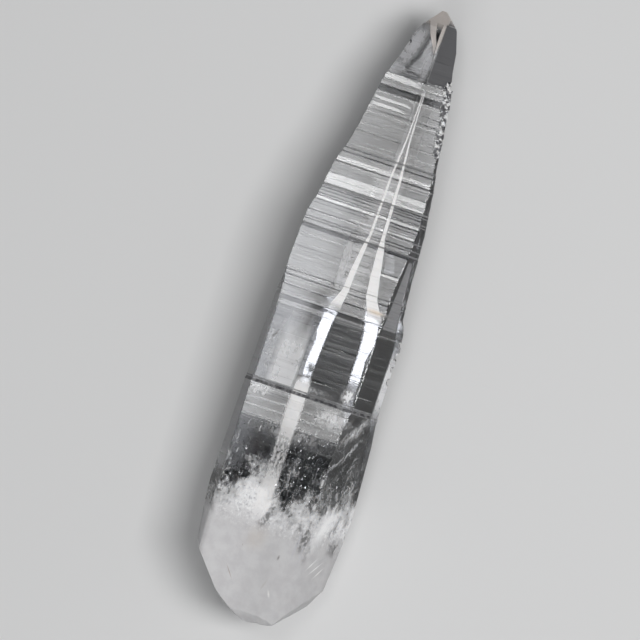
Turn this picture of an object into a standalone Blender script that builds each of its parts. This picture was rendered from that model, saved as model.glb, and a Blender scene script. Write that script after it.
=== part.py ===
"""A lemurian quartz point: one clear crystal with a milky broken base and a stepped, slanting tip.

It lies on its flat back face, at z = 0, with its tip towards +Y and its broad striated face up.
Every cross-section is a six-sided quartz prism with two narrow facets beside the back face. Each face is
given by its outward angle and by its distance from the growth axis, which shrinks by steps towards the tip.
"""

import math

import bmesh
import bpy
from mathutils import Vector

MM = 0.001

# Driving dimensions, in millimetres. "along" is the distance from the lowest point of the broken base.
LENGTH = 120.0
THICKNESS = 19.5
LEAST_FACET = 0.08
WORN_EDGE = 0.1
LEDGE_RUN = 0.14
TIP_LEDGE = 105.8
BELOW_TIP, ABOVE_TIP = TIP_LEDGE - LEDGE_RUN / 2, TIP_LEDGE + LEDGE_RUN / 2
BASE_STOCK = -1.5

# Outward angles of the faces in the cross-section, in degrees from +X towards +Z.
RIGHT, FRONT, LEFT = 30.0, 90.0, 150.0
BACK_LEFT, BACK, BACK_RIGHT = 210.0, 270.0, 330.0
LEFT_STREAK, RIGHT_STREAK = 225.0, 315.0
TIP_RIGHT, SIDE_EDGE = 70.0, 0.0

# Distance of each face from the growth axis, as (along, distance).
FRONT_HEIGHT = (
    (0, THICKNESS), (58.5, THICKNESS), (77, 18.85), (TIP_LEDGE, 16.85), (116.6, 14.7), (LENGTH, 12.2),
)
RIGHT_REACH = (
    (0, 16.4), (31, 16.55), (38, 16.7), (44, 17.45), (64, 17.4), (70, 17.5), (79, 17.95), (83, 17.6),
    (89, 17.05), (94.5, 16.25), (102, 15.1), (106, 14.4), (109.5, 13.3), (113, 12.5), (117, 10.85),
    (LENGTH, 7.2),
)
LEFT_REACH = ((0, 18.2), (23, 18.9), (45, 19.25), (62.5, 19.25), (66, 19.5), (75, 21.0), (LENGTH, 21.0))
BACK_LEFT_REACH = (
    (0, -0.4), (12, 1.0), (19.5, 2.7), (23.5, 3.1), (31, 2.7), (46, 2.15), (57, 1.65), (61, 1.45), (64.5, 0.45),
    (75, 0.35), (77, 0.25), (79.5, -0.3), (86.5, -0.95), (91, -1.95), (94.5, -2.5), (104, -3.4), (109.5, -4.45),
    (115, -5.05), (117, -5.8), (LENGTH, -6.5),
)
BACK_RIGHT_REACH = (
    (0, 6.2), (12, 7.5), (19.5, 8.4), (23.5, 8.6), (31, 7.9), (38, 7.1), (42, 5.9), (46, 5.4), (53, 5.25),
    (57, 5.5), (60.5, 4.8), (62.5, 3.5), (70, 2.35), (76, 1.65), (83, 0.65), (87, 0.25), (91, -0.6),
    (98, -1.05), (104, -1.7), (BELOW_TIP, -1.8), (ABOVE_TIP, -1.35), (109.5, -1.9), (113, -2.05),
    (117, -2.9), (119, -4.0), (LENGTH, -4.6),
)
TIP_REACH = ((0, 30), (BELOW_TIP, 30), (ABOVE_TIP, 16.6), (118, 14.1), (LENGTH, 12.3))
BACK_HEIGHT = (
    (0, 0), (60, 0), (62.5, 0.6), (65, 0.85), (74, 1.0), (83, 1.85), (87, 2.45), (94.5, 4.05), (105, 5.55),
    (109.5, 7.0), (LENGTH, 11.3),
)
STREAK_RISE = (
    (0, 2.5), (60, 2.5), (63, 2.1), (67, 1.7), (72, 1.1), (76, 0.9), (83, 0.65), (94.5, 0.3), (105, 0.1),
    (LENGTH, 0.1),
)

# Growth ledges that ring the crystal, as (along, drop).
LEDGES = (
    (39.4, 0.06), (42.0, 0.08), (43.4, 0.2), (50.2, 0.05), (54.2, 0.06), (57.0, 0.08), (58.5, 0.1), (60.2, 0.12),
    (62.2, 0.12), (64.1, 0.1), (65.1, 0.12), (69.5, 0.06), (74.0, 0.2), (75.6, 0.12), (76.9, 0.1), (79.1, 0.12),
    (81.0, 0.12), (82.5, 0.14), (84.6, 0.16), (87.0, 0.14), (90.0, 0.14), (97.0, 0.06), (TIP_LEDGE, 0.14),
    (110.4, 0.08),
)
RESTING_END = 60.0

# Chips knocked off the edges: (across, along, height) of a ball that bites the edge, and its radius.
CHIPS = (
    ((8.3, 106.2, 18.3), 1.9),
    ((8.9, 103.9, 18.2), 1.6),
    ((9.4, 101.6, 18.2), 1.7),
    ((9.9, 99.2, 18.3), 1.5),
    ((10.0, 96.2, 18.4), 1.8),
    ((10.5, 94.2, 18.5), 1.2),
    ((14.9, 58.3, 12.0), 1.9),
    ((15.1, 55.6, 11.9), 2.0),
    ((15.0, 52.8, 12.1), 1.8),
    ((15.0, 50.6, 12.0), 1.8),
)
CHIPPED_STRETCHES = ((93.0, 108.0), (48.5, 60.0))
CHIP_SPACING = 0.6

# Flat breaks that cut the base, each as height along = start + across * lean + height * tip.
BREAKS = (
    (1.1, -1.19, -0.15),
    (2.6, -0.68, -0.1),
    (2.3, -0.5, -0.08),
    (-0.2, 0.13, 0.0),
    (-3.1, 0.81, -0.1),
    (-14.3, 1.62, 0.2),
    (-17.9, 0.05, 1.0),
    (5.6, 0.1, -0.62),
    (8.5, -0.3, -0.7),
)


def along(table, distance):
    """The value of a table at this distance, on straight lines between its points."""
    for (start, first), (end, last) in zip(table, table[1:]):
        if distance <= end:
            return first + (last - first) * (distance - start) / (end - start)
    return table[-1][1]


def outward(angle):
    return Vector((math.cos(math.radians(angle)), math.sin(math.radians(angle))))


def corner(first_angle, first_reach, second_angle, second_reach):
    """The point of the cross-section where two faces meet."""
    first, second = outward(first_angle), outward(second_angle)
    turn = first.x * second.y - first.y * second.x
    across = (first_reach * second.y - first.y * second_reach) / turn
    height = (first.x * second_reach - first_reach * second.x) / turn
    return Vector((across, height))


def ledge_step(distance):
    """How far the ledges move a face in or out of its straight line here: a saw with one tooth a ledge."""
    step = 0.0
    for (place, drop), (next_place, next_drop) in zip(LEDGES, LEDGES[1:]):
        if place + LEDGE_RUN / 2 <= distance <= next_place - LEDGE_RUN / 2:
            share = (distance - place) / (next_place - place)
            step = -drop / 2 + share * (drop + next_drop) / 2
    return step


def cross_section(distance):
    """The corners of the crystal at this distance from its base, in order, each as (across, height)."""
    step = ledge_step(distance)
    reach = {
        FRONT: along(FRONT_HEIGHT, distance) + step,
        RIGHT: along(RIGHT_REACH, distance) + step,
        LEFT: along(LEFT_REACH, distance) + step,
        BACK_LEFT: along(BACK_LEFT_REACH, distance) + step,
        BACK_RIGHT: along(BACK_RIGHT_REACH, distance) + step,
        BACK: min(0.0, step - along(BACK_HEIGHT, distance)) if distance > RESTING_END else 0.0,
    }
    ridge = corner(BACK_LEFT, reach[BACK_LEFT], BACK_RIGHT, reach[BACK_RIGHT])
    reach[BACK] = min(reach[BACK], outward(BACK) @ ridge - LEAST_FACET)
    shoulder = corner(FRONT, reach[FRONT], BACK_LEFT, reach[BACK_LEFT])
    reach[LEFT] = min(reach[LEFT], outward(LEFT) @ shoulder - LEAST_FACET)
    streak_reach = reach[BACK] - along(STREAK_RISE, distance)
    left_start = corner(BACK_LEFT, reach[BACK_LEFT], BACK, streak_reach)
    right_start = corner(BACK, streak_reach, BACK_RIGHT, reach[BACK_RIGHT])
    reach[LEFT_STREAK] = outward(LEFT_STREAK) @ left_start
    reach[RIGHT_STREAK] = outward(RIGHT_STREAK) @ right_start
    front_right = corner(RIGHT, reach[RIGHT], FRONT, reach[FRONT])
    worn = outward(TIP_RIGHT) @ front_right - WORN_EDGE / 2
    reach[TIP_RIGHT] = min(worn, along(TIP_REACH, distance) + step)
    tip_side = corner(BACK_RIGHT, reach[BACK_RIGHT], TIP_RIGHT, reach[TIP_RIGHT])
    reach[RIGHT] = min(reach[RIGHT], outward(RIGHT) @ tip_side - LEAST_FACET)
    far_right = corner(BACK_RIGHT, reach[BACK_RIGHT], RIGHT, reach[RIGHT])
    reach[SIDE_EDGE] = outward(SIDE_EDGE) @ far_right - WORN_EDGE / 2
    order = sorted(reach)
    return [corner(a, reach[a], b, reach[b]) for a, b in zip(order, order[1:] + order[:1])]


def chipped(point):
    """The point, moved out of any ball that bites the edge there."""
    for centre, radius in CHIPS:
        away = point - Vector(centre)
        if away.length < radius:
            point = Vector(centre) + away.normalized() * radius
    return point


def stations():
    """Distances along the crystal at which its cross-section changes."""
    tables = (FRONT_HEIGHT, RIGHT_REACH, LEFT_REACH, BACK_LEFT_REACH, BACK_RIGHT_REACH, BACK_HEIGHT, STREAK_RISE)
    wanted = [float(place) for table in tables for place, _ in table if place > 0]
    for start, end in CHIPPED_STRETCHES:
        count = round((end - start) / CHIP_SPACING)
        wanted += [start + (end - start) * i / count for i in range(count + 1)]
    found = {place + side * LEDGE_RUN / 2 for place, _ in LEDGES for side in (-1, 1)}
    for place in wanted:
        if min(abs(place - other) for other in found) > LEDGE_RUN:
            found.add(place)
    return [BASE_STOCK] + sorted(found)


def crystal_mesh():
    """The closed loft through all the cross-sections, broken off flat by flat at its base."""
    shape = bmesh.new()
    rings = []
    for distance in stations():
        points = [chipped(Vector((p.x, distance, p.y))) for p in cross_section(distance)]
        rings.append([shape.verts.new(point * MM) for point in points])
    for lower, upper in zip(rings, rings[1:]):
        for i in range(len(lower)):
            j = (i + 1) % len(lower)
            shape.faces.new((lower[i], upper[i], upper[j], lower[j]))
    shape.faces.new(rings[0])
    shape.faces.new(rings[-1][::-1])
    bmesh.ops.recalc_face_normals(shape, faces=shape.faces)
    for start, lean, tip in BREAKS:
        break_off(shape, start, lean, tip)
    bmesh.ops.triangulate(shape, faces=shape.faces)
    return shape


def break_off(shape, start, lean, tip):
    """Removes what lies below one flat break of the base, and closes the cut."""
    cut = bmesh.ops.bisect_plane(
        shape,
        geom=shape.verts[:] + shape.edges[:] + shape.faces[:],
        dist=1e-8,
        plane_co=Vector((0, start, 0)) * MM,
        plane_no=Vector((lean, -1, tip)).normalized(),
        clear_outer=True,
    )
    rim = [item for item in cut["geom_cut"] if isinstance(item, bmesh.types.BMEdge)]
    bmesh.ops.holes_fill(shape, edges=rim)
    bmesh.ops.recalc_face_normals(shape, faces=shape.faces)


def centre(mesh):
    """Moves the crystal so that the middle of its outline on the surface is at the origin."""
    low = [min(vertex.co[i] for vertex in mesh.vertices) for i in range(3)]
    high = [max(vertex.co[i] for vertex in mesh.vertices) for i in range(3)]
    shift = Vector((-(low[0] + high[0]) / 2, -(low[1] + high[1]) / 2, -low[2]))
    for vertex in mesh.vertices:
        vertex.co += shift


def quartz_material():
    material = bpy.data.materials.new("clear_quartz")
    material.use_nodes = True
    shader = material.node_tree.nodes["Principled BSDF"]
    shader.inputs["Base Color"].default_value = (0.9, 0.91, 0.93, 1)
    shader.inputs["Metallic"].default_value = 0.0
    shader.inputs["Roughness"].default_value = 0.05
    shader.inputs["IOR"].default_value = 1.544
    shader.inputs["Transmission Weight"].default_value = 0.9
    return material


def build():
    for thing in list(bpy.data.objects):
        bpy.data.objects.remove(thing)
    shape = crystal_mesh()
    mesh = bpy.data.meshes.new("quartz_point")
    shape.to_mesh(mesh)
    shape.free()
    centre(mesh)
    mesh.materials.append(quartz_material())
    crystal = bpy.data.objects.new("quartz_point", mesh)
    bpy.context.scene.collection.objects.link(crystal)


build()
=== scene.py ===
"""A lemurian quartz point lying on a pale floor, seen from above.

The crystal is one clear solid with fine growth lines, a milky broken base and veils inside it.
"""

import math

import bpy
import numpy as np
from mathutils import Matrix, Vector, noise

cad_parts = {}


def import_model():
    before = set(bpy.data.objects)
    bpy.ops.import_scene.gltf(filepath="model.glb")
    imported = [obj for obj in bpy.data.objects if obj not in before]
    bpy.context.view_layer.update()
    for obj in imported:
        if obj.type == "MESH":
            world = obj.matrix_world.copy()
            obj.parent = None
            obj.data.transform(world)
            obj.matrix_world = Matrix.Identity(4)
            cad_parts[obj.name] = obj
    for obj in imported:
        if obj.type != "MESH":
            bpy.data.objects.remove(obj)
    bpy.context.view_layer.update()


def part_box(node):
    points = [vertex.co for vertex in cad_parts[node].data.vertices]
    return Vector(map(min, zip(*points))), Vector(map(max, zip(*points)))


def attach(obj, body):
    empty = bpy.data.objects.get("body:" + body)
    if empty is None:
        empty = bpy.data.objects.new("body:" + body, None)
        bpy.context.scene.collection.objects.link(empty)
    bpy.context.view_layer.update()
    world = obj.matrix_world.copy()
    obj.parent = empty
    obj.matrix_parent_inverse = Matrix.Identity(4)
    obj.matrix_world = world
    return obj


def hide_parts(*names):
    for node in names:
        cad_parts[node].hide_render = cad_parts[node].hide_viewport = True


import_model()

MM = 0.001
SEED = 7

# Driving dimensions, in millimetres. "along" is the distance from the lowest point of the broken base.
LENGTH = 120.0
THICKNESS = 19.5
LEAST_FACET = 0.08
WORN_EDGE = 0.1
LEDGE_RUN = 0.1
TIP_LEDGE = 105.8
BELOW_TIP, ABOVE_TIP = TIP_LEDGE - 0.07, TIP_LEDGE + 0.07
RESTING_END = 60.0

# Outward angles of the faces in the cross-section, in degrees from +X towards +Z.
SIDE_EDGE, RIGHT, TIP_RIGHT, FRONT, LEFT = 0.0, 30.0, 70.0, 90.0, 150.0
BACK_LEFT, LEFT_STREAK, BACK, RIGHT_STREAK, BACK_RIGHT = 210.0, 225.0, 270.0, 315.0, 330.0
FACES = (SIDE_EDGE, RIGHT, TIP_RIGHT, FRONT, LEFT, BACK_LEFT, LEFT_STREAK, BACK, RIGHT_STREAK, BACK_RIGHT)

# Distance of each face from the growth axis, as (along, distance).
FRONT_HEIGHT = (
    (0, THICKNESS), (58.5, THICKNESS), (77, 18.85), (TIP_LEDGE, 16.85), (116.6, 14.7), (LENGTH, 12.2),
)
RIGHT_REACH = (
    (0, 16.4), (31, 16.55), (38, 16.7), (44, 17.45), (64, 17.4), (70, 17.5), (79, 17.95), (83, 17.6),
    (89, 17.05), (94.5, 16.25), (102, 15.1), (106, 14.4), (109.5, 13.3), (113, 12.5), (117, 10.85),
    (LENGTH, 7.2),
)
LEFT_REACH = ((0, 18.2), (23, 18.9), (45, 19.25), (62.5, 19.25), (66, 19.5), (75, 21.0), (LENGTH, 21.0))
BACK_LEFT_REACH = (
    (0, -0.4), (12, 1.0), (19.5, 2.7), (23.5, 3.1), (31, 2.7), (46, 2.15), (57, 1.65), (61, 1.45), (64.5, 0.45),
    (75, 0.35), (77, 0.25), (79.5, -0.3), (86.5, -0.95), (91, -1.95), (94.5, -2.5), (104, -3.4), (109.5, -4.45),
    (115, -5.05), (117, -5.8), (LENGTH, -6.5),
)
BACK_RIGHT_REACH = (
    (0, 6.2), (12, 7.5), (19.5, 8.4), (23.5, 8.6), (31, 7.9), (38, 7.1), (42, 5.9), (46, 5.4), (53, 5.25),
    (57, 5.5), (60.5, 4.8), (62.5, 3.5), (70, 2.35), (76, 1.65), (83, 0.65), (87, 0.25), (91, -0.6),
    (98, -1.05), (104, -1.7), (BELOW_TIP, -1.8), (ABOVE_TIP, -1.35), (109.5, -1.9), (113, -2.05),
    (117, -2.9), (119, -4.0), (LENGTH, -4.6),
)
TIP_REACH = ((0, 30), (BELOW_TIP, 30), (ABOVE_TIP, 16.6), (118, 14.1), (LENGTH, 12.3))
BACK_HEIGHT = (
    (0, 0), (60, 0), (62.5, 0.6), (65, 0.85), (74, 1.0), (83, 1.85), (87, 2.45), (94.5, 4.05), (105, 5.55),
    (109.5, 6.3), (LENGTH, 6.3),
)
STREAK_RISE = (
    (0, 2.5), (60, 2.5), (63, 2.1), (67, 1.7), (72, 1.1), (76, 0.9), (83, 0.65), (94.5, 0.3), (105, 0.1),
    (LENGTH, 0.1),
)

# How far to either side the long facets under the front face are evened out.
STREAK_BLEND = 4.0

# Growth ledges that ring the crystal, as (along, drop).
LEDGES = (
    (39.4, 0.06), (42.0, 0.08), (43.4, 0.2), (50.2, 0.05), (54.2, 0.06), (57.0, 0.08), (58.5, 0.1), (60.2, 0.12),
    (62.2, 0.12), (64.1, 0.1), (65.1, 0.12), (69.5, 0.06), (74.0, 0.2), (75.6, 0.12), (76.9, 0.1), (79.1, 0.12),
    (81.0, 0.12), (82.5, 0.14), (84.6, 0.16), (87.0, 0.14), (90.0, 0.14), (97.0, 0.06), (TIP_LEDGE, 0.14),
    (110.4, 0.08),
)
BACK_LEDGE_SHARE = 0.1

# Bands of the front face between its ledges, as (start along, tilt towards the tip in degrees).
FRONT_BANDS = (
    (0, 0), (35.9, 3.3), (36.0, 0.0), (36.4, 3.3), (36.55, 0.0), (36.85, 3.3), (38.6, 3.6), (40.4, 3.8), (42.0, 3.6), (43.3, 0.0), (44.1, 0.0), (57.0, 0.8), (58.5, 1.3), (60.2, 1.7),
    (62.25, 1.8), (64.1, 1.9), (65.1, 1.8), (69.75, 1.3), (73.5, -0.6), (74.1, 1.2), (75.6, 1.5), (76.9, 3.4),
    (78.4, 3.8), (79.1, 2.9), (80.25, 4.4), (81.6, 5.5), (82.5, 1.9), (84.6, 3.2), (85.7, 3.9), (87.0, 2.2),
    (88.1, 4.2), (89.1, 5.0), (90.0, 4.0), (93.6, 4.3), (97.1, 3.6), (98.25, 2.2), (99.75, 2.3), (102.0, 6.2),
    (103.3, 4.0), (104.4, 1.6), (TIP_LEDGE, 11.0), (LENGTH, 11.0),
)
LAST_FRONT_BAND = TIP_LEDGE

# Grooves across the front face, as (along, depth, width).
GROOVES = (
    (43.35, 0.12, 0.5), (43.85, 0.06, 0.3), (53.6, 0.02, 0.2), (49.9, 0.02, 0.2), (60.2, 0.05, 0.3),
    (62.25, 0.05, 0.3), (64.1, 0.06, 0.3), (65.1, 0.06, 0.3), (73.6, 0.08, 0.35), (74.1, 0.1, 0.35),
    (75.1, 0.06, 0.3), (75.6, 0.06, 0.3), (76.9, 0.05, 0.3), (79.1, 0.05, 0.3), (79.9, 0.05, 0.3),
    (80.3, 0.05, 0.3), (81.0, 0.06, 0.3), (81.55, 0.08, 0.3), (81.95, 0.08, 0.3), (82.35, 0.08, 0.3),
    (87.0, 0.06, 0.3), (89.1, 0.05, 0.3), (90.0, 0.09, 0.35), (TIP_LEDGE, 0.05, 0.3),
)

# Fine growth lines: their spacing, and how far each strip between them leans, in degrees.
LINE_SPACING = (0.3, 0.75)
LINES_FROM = 26.0
LINE_LEAN = {
    SIDE_EDGE: 0.0, RIGHT: 0.8, TIP_RIGHT: 0.5, FRONT: 0.4, LEFT: 0.6, BACK_LEFT: 0.15, LEFT_STREAK: 0.3,
    BACK: 0.0, RIGHT_STREAK: 0.3, BACK_RIGHT: 0.15,
}
LINE_RUN = 0.06

# Between these places the front face's growth lines are fainter, by this share.
CALM_FROM, CALM_TO, CALM_SHARE = 36.0, 43.3, 0.4
RESTING_ROUGHNESS = 0.35

# Columns of the mesh across each face, and how they crowd towards the face's first edge.
COLUMNS = {
    SIDE_EDGE: 1, RIGHT: 9, TIP_RIGHT: 4, FRONT: 30, LEFT: 3, BACK_LEFT: 12, LEFT_STREAK: 4, BACK: 6,
    RIGHT_STREAK: 4, BACK_RIGHT: 10,
}
CROWDING = {FRONT: 1.5}

# Chips knocked off the edges: the face whose first corner each bites, how far along, and its radius.
CHIPS = (
    (TIP_RIGHT, 106.6, 1.0), (FRONT, 105.2, 1.2), (FRONT, 103.7, 1.1), (FRONT, 102.3, 1.2), (FRONT, 101.0, 1.0),
    (FRONT, 99.6, 0.9), (FRONT, 97.4, 1.1), (FRONT, 96.3, 1.0), (FRONT, 94.7, 1.0), (FRONT, 93.8, 0.9),
    (RIGHT, 58.0, 0.7), (RIGHT, 55.8, 0.8), (RIGHT, 53.2, 0.7), (RIGHT, 50.8, 0.8),
    (LEFT, 112.6, 0.5),
)
CHIP_STANDOFF = 0.3
CHIP_ROUGHNESS = 0.55

# The edge between the front and right faces is worn round where the base is milky.
ROUND_FROM, ROUND_TO = 17.0, 24.0
ROUND_LENGTH = 4.5
SMOOTH_TO = 22.0

# Flat breaks that end the base, each as along = start + across * lean + height * tip.
BREAKS = (
    (1.1, -1.19, -0.15),
    (2.6, -0.68, -0.1),
    (2.3, -0.5, -0.08),
    (-0.2, 0.13, 0.0),
    (-3.1, 0.81, -0.1),
    (-14.3, 1.62, 0.2),
    (-17.9, 0.05, 1.0),
    (5.6, 0.1, -0.62),
    (8.5, -0.3, -0.7),
)
BASE_END = 14.0
BASE_ROWS = 46
CAP_RINGS = 16
BREAK_RIPPLE = 0.35
MAIN_STEP = 0.3

# Flakes and veils inside, above the milky base.
VEIL_COUNT = 5000
VEIL_FROM, VEIL_TO = 17.0, 41.0
VEIL_SIZE = 0.11
VEIL_MARGIN = 0.6
CLOUD_SCALE = 0.3

# Healed cracks: the middle of each (across, along, height), how it leans across and up, and its radius.
VEIL_SHEETS = (
    ((8.0, 38.0, 10.0), (1.1, 0.3), 3.5),
    ((-2.0, 30.0, 12.0), (0.5, 0.8), 4.5),
    ((-8.0, 27.0, 14.0), (0.6, -0.4), 3.5),
    ((4.0, 25.0, 9.0), (-0.4, 0.7), 4.5),
    ((9.0, 30.0, 8.0), (2.0, 0.2), 3.5),
)
SHEET_COUNT = 500

# The milk's edge in millimetres along, where it climbs (across, half width), and how far.
MILK_EDGE = 21.5
MILK_PEAK = (-4.2, 6.0)
MILK_PEAK_RISE = 5.0
MILK_RIGHT = (1.5, 10.5)
MILK_RIGHT_RISE = 3.5
MILK_LEFT = (-11.5, -8.0)
MILK_LEFT_FALL = 2.5

# Haze above the milk: where it is full and where it ends, and its strength.
HAZE_ENDS = (20.0, 40.0)
HAZE_SHARE = 0.95
BACK_FROST = (
    (30.0, 0.4), (41.0, 0.4), (43.0, 0.0), (58.0, 0.0), (62.0, 0.25), (80.0, 0.3), (90.0, 0.6), (105.6, 0.55), (106.4, 0.15),
)
# How much painted shade darkens the resting face.
RESTING_SHADE = 0.6

# How strong the frost along the fine growth lines is, as (along, share).
LINE_FROST = ((34.0, 0.0), (38.0, 1.0), (43.0, 1.0), (44.0, 0.4), (50.0, 1.0))

# Strokes on the skin, each (across, along, half width, half length, lean across for each millimetre along).
# The painted highlight of the pale streak on the left: its sides across, its ends along, and where it thins.
LEFT_HIGHLIGHT_SIDES = (-3.5, -1.2)
LEFT_HIGHLIGHT_ENDS = (20.0, 48.0)
LEFT_HIGHLIGHT_THIN = (31.5, 8.0)
# Painted light: a pale frost in the middle of the front face, between the streaks, standing in for the brightness
# there (across, half width).
PAINTED_PALE_MIDDLE = (0.4, 4.5)
APEX = (115.4, 118.0)
# Painted shade on the right side of the tip: where it fades in across, and its share.
TIP_SHADE_ACROSS = (1.3, 1.6)
TIP_SHADE_SHARE = 0.95
# Painted light: pale slivers on the tip, laid over zones that the frosted ridge leaves dark, each as (along, across,
# half width).
PAINTED_SLIVERS = (
    ((111.4, 0.85, 0.06), (113.2, 0.45, 0.38), (115.1, -0.44, 0.56), (118.1, -1.3, 0.75)),
    ((111.4, 1.05, 0.05), (113.2, 1.1, 0.25), (115.1, 1.25, 0.42), (118.4, 1.35, 0.45)),
)

# Painted highlights: pale streaks that narrow towards the tip, in place of the light that the facets under the front
# face send up, as (along, across, half width).
UPPER_HIGHLIGHTS = (
    ((61.0, -1.4, 1.1), (64.5, -0.45, 0.6), (68.2, -0.25, 0.55), (73.5, 0.3, 0.38), (75.8, 0.65, 0.22),
     (87.0, 0.8, 0.2), (94.5, 1.35, 0.13), (104.2, 1.5, 0.05)),
    ((61.0, 6.4, 1.4), (64.5, 4.65, 1.1), (68.2, 4.05, 0.92), (73.5, 3.4, 0.64), (75.8, 3.1, 0.32),
     (87.0, 2.65, 0.24), (94.5, 2.0, 0.13), (104.2, 1.75, 0.05)),
)
# Stains, cracks and a beige band, each a stroke with its strength and tint; the last three are patches of painted
# light, grey or pale, over dark zones that the crystal refracts.
STAINS_AND_PAINTED_LIGHT = (
    ((-1.6, 15.7, 3.0, 3.6, 0.1), 0.4, (0.58, 0.52, 0.46)),
    ((3.5, 13.4, 0.3, 0.7, 0.1), 0.9, (0.22, 0.20, 0.20)),
    ((-4.4, 8.1, 0.12, 1.5, -0.74), 0.9, (0.35, 0.24, 0.20)),
    ((-3.6, 13.6, 0.1, 0.3, 0.0), 0.8, (0.4, 0.36, 0.32)),
    ((2.5, 7.8, 0.25, 1.6, 0.3), 0.5, (0.45, 0.43, 0.40)),
    ((3.9, 6.4, 0.3, 0.9, -0.4), 0.8, (0.93, 0.92, 0.90)),
    ((6.0, 17.0, 0.35, 4.5, 0.1), 0.6, (0.48, 0.49, 0.54)),
    ((7.2, 15.5, 0.3, 3.5, 0.05), 0.5, (0.50, 0.51, 0.55)),
    ((9.6, 21.0, 1.0, 7.0, 0.25), 0.95, (0.97, 0.97, 0.97)),
    ((9.5, 13.9, 0.16, 1.8, 0.5), 0.9, (0.97, 0.97, 0.97)),
    ((10.3, 13.3, 0.16, 1.9, 0.6), 0.9, (0.97, 0.97, 0.97)),
    ((11.0, 12.6, 0.16, 1.6, 0.5), 0.9, (0.97, 0.97, 0.97)),
    ((10.6, 14.9, 0.12, 1.2, 0.9), 0.7, (0.45, 0.45, 0.47)),
    ((6.3, 62.3, 3.0, 0.7, 0.0), 0.9, (0.80, 0.68, 0.56)),
    # Painted light: a pale patch over a dark stripe that the crystal refracts.
    ((-2.3, 69.5, 1.2, 8.5, 0.0), 0.6, (0.55, 0.55, 0.56)),
    # Painted light: grey patches over dark zones near the tip.
    ((-3.4, 111.6, 2.6, 8.0, 0.27), 0.95, (0.42, 0.42, 0.44)),
    ((0.5, 109.2, 1.2, 5.5, 0.05), 0.95, (0.40, 0.40, 0.42)),
)

# Pale smears on the left of the front face, and their strength; the one at across 6.3, along 45.7 is a painted
# highlight that carries the bright streak on the right on below where it ends.
FROST_SMEARS_AND_HIGHLIGHT = (
    ((-9.6, 50.0, 1.5, 8.0, 0.05), 0.3), ((-10.8, 52.5, 0.5, 2.2, 0.1), 0.7), ((-9.8, 36.0, 0.12, 1.3, 0.1), 0.7),
    ((-7.4, 35.2, 0.15, 1.6, 0.05), 0.8), ((-10.2, 30.0, 0.12, 1.0, 0.0), 0.6), ((-8.9, 29.4, 0.12, 1.0, 0.1), 0.6),
    ((-6.3, 31.5, 0.1, 1.2, 0.1), 0.5), ((9.6, 40.0, 1.1, 5.0, 0.54), 0.6), ((9.9, 36.5, 0.3, 4.0, 0.4), 0.6),
    ((8.0, 33.0, 0.25, 3.0, 0.5), 0.5), ((10.6, 33.5, 0.25, 3.0, 0.2), 0.5), ((9.0, 46.3, 2.2, 0.15, 0.0), 0.4),
    ((-0.3, 44.8, 5.5, 1.1, 0.0), 0.35),
    # The third stroke on this line is a painted highlight.
    ((4.8, 40.9, 4.6, 2.6, 0.0), 0.7), ((-2.0, 36.0, 13.0, 3.0, 0.0), 0.3), ((6.3, 45.7, 1.5, 2.4, 0.05), 0.95), ((-10.0, 42.0, 4.0, 1.6, 0.0), 0.4),
)

# Painted light: a pale haze left of the bright streak, standing in for the light seen through the crystal there: its
# sides (across), its ends (along), and its strength.
LEFT_PAINTED_LIGHT_SIDES = (-10.5, -8.0, -4.6, -3.4)
LEFT_PAINTED_LIGHT_ENDS = (43.9, 44.4, 50.0, 57.8)
LEFT_PAINTED_LIGHT = 0.62

# Strokes where the milk is gone and the clear crystal shows.
GAPS = (
    ((7.0, 18.5, 1.3, 4.6, 0.1), 0.7),
    ((5.6, 20.0, 0.8, 3.6, 0.1), 0.6),
    ((8.0, 15.5, 0.4, 3.0, 0.1), 0.4),
    ((12.0, 17.8, 1.1, 2.8, 0.1), 0.7),
    ((-0.6, 20.5, 1.3, 4.2, 0.3), 0.7),
    ((8.6, 24.6, 0.8, 4.6, 0.1), 0.9),
    ((11.2, 21.5, 0.5, 3.4, 0.2), 0.6),
)

# Painted dark reflections along growth lines on the front face, as (along, half width, strength).
DARK_REFLECTION_LINES = (
    (43.4, 0.27, 1.0), (44.0, 0.12, 0.85), (58.4, 0.08, 0.25), (60.3, 0.07, 0.3), (65.1, 0.08, 0.4), (74.15, 0.13, 0.75),
    (75.2, 0.07, 0.4), (76.6, 0.08, 0.45), (79.8, 0.07, 0.4), (80.3, 0.08, 0.5), (81.6, 0.07, 0.5), (82.2, 0.12, 0.7),
    (86.5, 0.1, 0.35), (88.9, 0.07, 0.4), (90.0, 0.12, 0.65), (101.8, 0.1, 0.2), (102.7, 0.08, 0.15),
    (103.3, 0.08, 0.2), (106.5, 0.08, 0.35), (107.2, 0.07, 0.3), (108.1, 0.07, 0.3),
)
DARK_REFLECTION_TINT = (0.03, 0.03, 0.035, 1)

# Painted shade on a blue-grey facet of the right side, and how dark the frosted ridge under the tip is.
SIDE_SHADE_SIDES = (((59.8, 8.4), (73.4, 9.1)), ((59.8, 10.6), (73.4, 9.6)))
SIDE_SHADE_ENDS = (59.8, 73.0)
SIDE_SHADE_TINT = (0.045, 0.05, 0.068, 1)
RIDGE_FROST = 0.9

# The narrow left side face, painted with shade where the crystal is clear, and the pale ragged edge on the right.
LEFT_SIDE = -11.8
PAINTED_SHADE_TINT = (0.05, 0.05, 0.055, 1)
RIGHT_EDGE = (50.0, 9.5)

# The crystal fills the photograph's frame: how it leans there, and where its middle lies.
FRAME_PIXELS = 640
PIXEL = 0.1875 * MM
LEAN_DEGREES = 18.5
ROLL_DEGREES = 4.5
VIEW_ACROSS = -4.71 * MM
VIEW_ALONG = -2.27 * MM
VIEW_HEIGHT = 12.0 * MM
CAMERA_DISTANCE = 0.8
SENSOR = 36.0

# The air left between the crystal's resting face and the floor.
AIR_GAP = 0.1 * MM


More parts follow.
